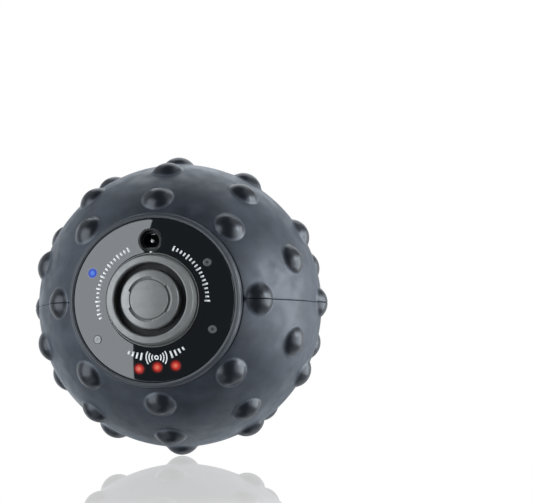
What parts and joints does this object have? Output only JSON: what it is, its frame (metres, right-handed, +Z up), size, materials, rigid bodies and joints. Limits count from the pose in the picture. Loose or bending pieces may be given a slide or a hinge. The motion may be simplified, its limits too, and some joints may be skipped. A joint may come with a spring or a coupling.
{
  "type": "massage ball",
  "caption": "Vibrating massage ball with a bumped silicone skin, round glossy control panel, central push button, indicator lights and a charging socket.",
  "frame": {"origin": "centre of the ball, which is the centre of its bounding box", "axes": "-Y out through the control panel, +Z up towards the charging socket, +X to the right seen from the panel side"},
  "size_m": [0.1262, 0.1247, 0.1262],
  "materials": {
    "skin": "satin silicone",
    "shell": "matte",
    "bezel": "satin",
    "panel": "high gloss",
    "satin_silver": "satin",
    "black_plastic": "matte",
    "lens_blue": "lit diffuser",
    "lens_clear": "unlit diffuser",
    "lens_red": "lit diffuser",
    "board": "solder mask",
    "chip": "moulded epoxy",
    "led": "clear resin",
    "steel": "machined",
    "bright_metal": "nickel plated",
    "brass": "machined",
    "copper": "enamelled wire",
    "magnet": "sintered",
    "rubber": "matte",
    "cell_sleeve": "shrink sleeve",
    "lead_red": "insulation",
    "lead_black": "insulation"
  },
  "bodies": {
    "ball": {"upper_skin": "skin", "lower_skin": "skin", "upper_shell": "shell", "lower_shell": "shell", "shell_screws": "steel", "front_carrier": "shell", "carrier_screws": "steel", "bezel_ring": "bezel", "front_panel": "panel", "button_collar": "satin_silver", "collar_gasket": "rubber", "button_guide": "black_plastic", "status_lens_lit": "lens_blue", "status_lenses": "lens_clear", "battery_lenses": "lens_red", "main_board": "board", "board_screws": "steel", "board_chips": "chip", "board_capacitors": "bright_metal", "status_leds": "led", "battery_leds": "led", "switch_body": "black_plastic", "button_spring": "steel", "jack_ferrule": "black_plastic", "jack_body": "black_plastic", "jack_pin": "bright_metal", "jack_sleeve_contact": "bright_metal", "chassis_plate_left": "shell", "chassis_plate_right": "shell", "motor_can": "steel", "motor_end_cap": "black_plastic", "motor_bearing_left": "brass", "motor_bearing_right": "brass", "motor_magnets": "magnet", "motor_brushes": "chip", "motor_terminals": "bright_metal", "motor_damper_left": "rubber", "motor_damper_right": "rubber", "cell_upper": "cell_sleeve", "cell_lower": "cell_sleeve", "nickel_strip_left": "bright_metal", "nickel_strip_right": "bright_metal", "pack_tray": "shell", "protection_board": "board", "protection_chips": "chip", "motor_lead_positive": "lead_red", "motor_lead_negative": "lead_black", "cell_lead_positive": "lead_red", "cell_lead_negative": "lead_black"},
    "button": {"button_ring": "satin_silver", "button_cap": "satin_silver"},
    "plunger": {"switch_plunger": "rubber"},
    "rotor": {"motor_shaft": "steel", "armature_core": "steel", "armature_windings": "copper", "commutator": "brass", "eccentric_weight_left": "brass", "eccentric_weight_right": "brass", "weight_set_screws": "steel"}
  },
  "joints": [
    {"name": "button_press", "type": "slide", "parent": "ball", "child": "button", "axis": [0, 1, 0], "range_m": [0, 0.0005], "stiffness_N_per_m": 1500, "springref_m": -0.001, "deforming": ["button_spring"]},
    {"name": "plunger_press", "type": "slide", "parent": "ball", "child": "plunger", "axis": [0, 1, 0], "range_m": [0, 0.0005]},
    {"name": "rotor_spin", "type": "hinge", "parent": "ball", "child": "rotor", "pos_m": [0, 0, 0], "axis": [1, 0, 0], "continuous": true}
  ],
  "couplings": [
    {"joint": "plunger_press", "follows": "button_press", "ratio": 1}
  ]
}
